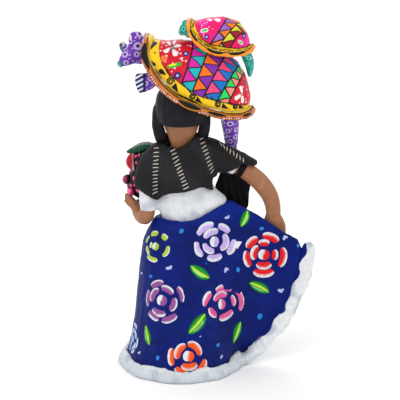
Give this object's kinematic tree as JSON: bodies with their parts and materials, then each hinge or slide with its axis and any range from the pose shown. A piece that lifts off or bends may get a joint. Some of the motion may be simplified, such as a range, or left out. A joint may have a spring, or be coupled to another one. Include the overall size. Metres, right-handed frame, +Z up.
{
  "type": "folk art figure",
  "caption": "Hand-painted papier-mache figure of a woman in a long flowered skirt, holding a bouquet and carrying an armadillo with its young on the head.",
  "frame": {"origin": "middle of the base board's underside, on the surface the figure stands on", "axes": "+Z up through the body, -Y is the way the face looks, +X is the figure's left, where the bouquet is"},
  "size_m": [0.1686, 0.1272, 0.2998],
  "materials": {
    "board": "raw grey-brown board, matte",
    "dowel_wood": "plain wooden stick, unpainted",
    "wire": "bare annealed wire",
    "skirt_blue": "deep blue paint with painted roses, leaves and dots, satin",
    "hem_white": "white paint over lumpy pulp, matte, grey in the hollows",
    "blouse_white": "white paint, matte",
    "skin": "warm brown paint, satin",
    "hair": "black paint, satin",
    "shawl_charcoal": "charcoal paint with rows of cream painted stitches, matte",
    "shawl_black": "black paint, matte",
    "bouquet_black": "black paint with pink and green dabs, satin",
    "leaf_green": "deep green paint, satin",
    "flower_red": "red paint with a white highlight, satin",
    "rose_pink": "pink paint, satin",
    "armadillo_belly": "orange paint, satin",
    "armadillo_shell": "red shields and a patchwork of coloured triangles with black outlines, satin",
    "brim_orange": "orange paint with black strokes and white dots, satin",
    "armadillo_skin": "violet paint with lilac rings and white dots, satin",
    "teal": "teal paint, satin",
    "young_belly": "orange paint, satin",
    "young_shell": "pink shields and a patchwork of coloured triangles with black outlines, satin"
  },
  "bodies": {
    "root": {"armadillo_body": "armadillo_belly", "armadillo_brim": "brim_orange", "armadillo_carapace": "armadillo_shell", "armadillo_ear_far": "armadillo_skin", "armadillo_ear_near": "armadillo_skin", "armadillo_head": "armadillo_skin", "armadillo_nose": "teal", "armadillo_paw_far": "armadillo_skin", "armadillo_paw_near": "armadillo_skin", "armadillo_tail": "armadillo_skin", "armature_dowel": "dowel_wood", "base_board": "board", "blouse_body": "blouse_white", "bouquet_core": "bouquet_black", "bouquet_leaves": "leaf_green", "bouquet_red_flower": "flower_red", "bouquet_rose_1": "rose_pink", "bouquet_rose_2": "rose_pink", "bouquet_rose_3": "rose_pink", "bouquet_rose_4": "rose_pink", "bouquet_rose_5": "rose_pink", "bouquet_rose_6": "rose_pink", "hair_cap": "hair", "hair_strand_left": "hair", "hair_strand_right": "hair", "head": "skin", "hem_ring": "hem_white", "hem_wing": "hem_white", "left_arm": "skin", "left_arm_wire": "wire", "left_hand": "skin", "left_sleeve": "blouse_white", "right_arm": "skin", "right_arm_wire": "wire", "right_cuff": "shawl_black", "right_hand": "skin", "right_sleeve": "blouse_white", "shawl": "shawl_charcoal", "shawl_end": "shawl_black", "skirt_shell": "skirt_blue", "young_body": "young_belly", "young_brim": "brim_orange", "young_carapace": "young_shell", "young_ear": "teal", "young_head": "teal", "young_tail": "teal"}
  },
  "joints": []
}
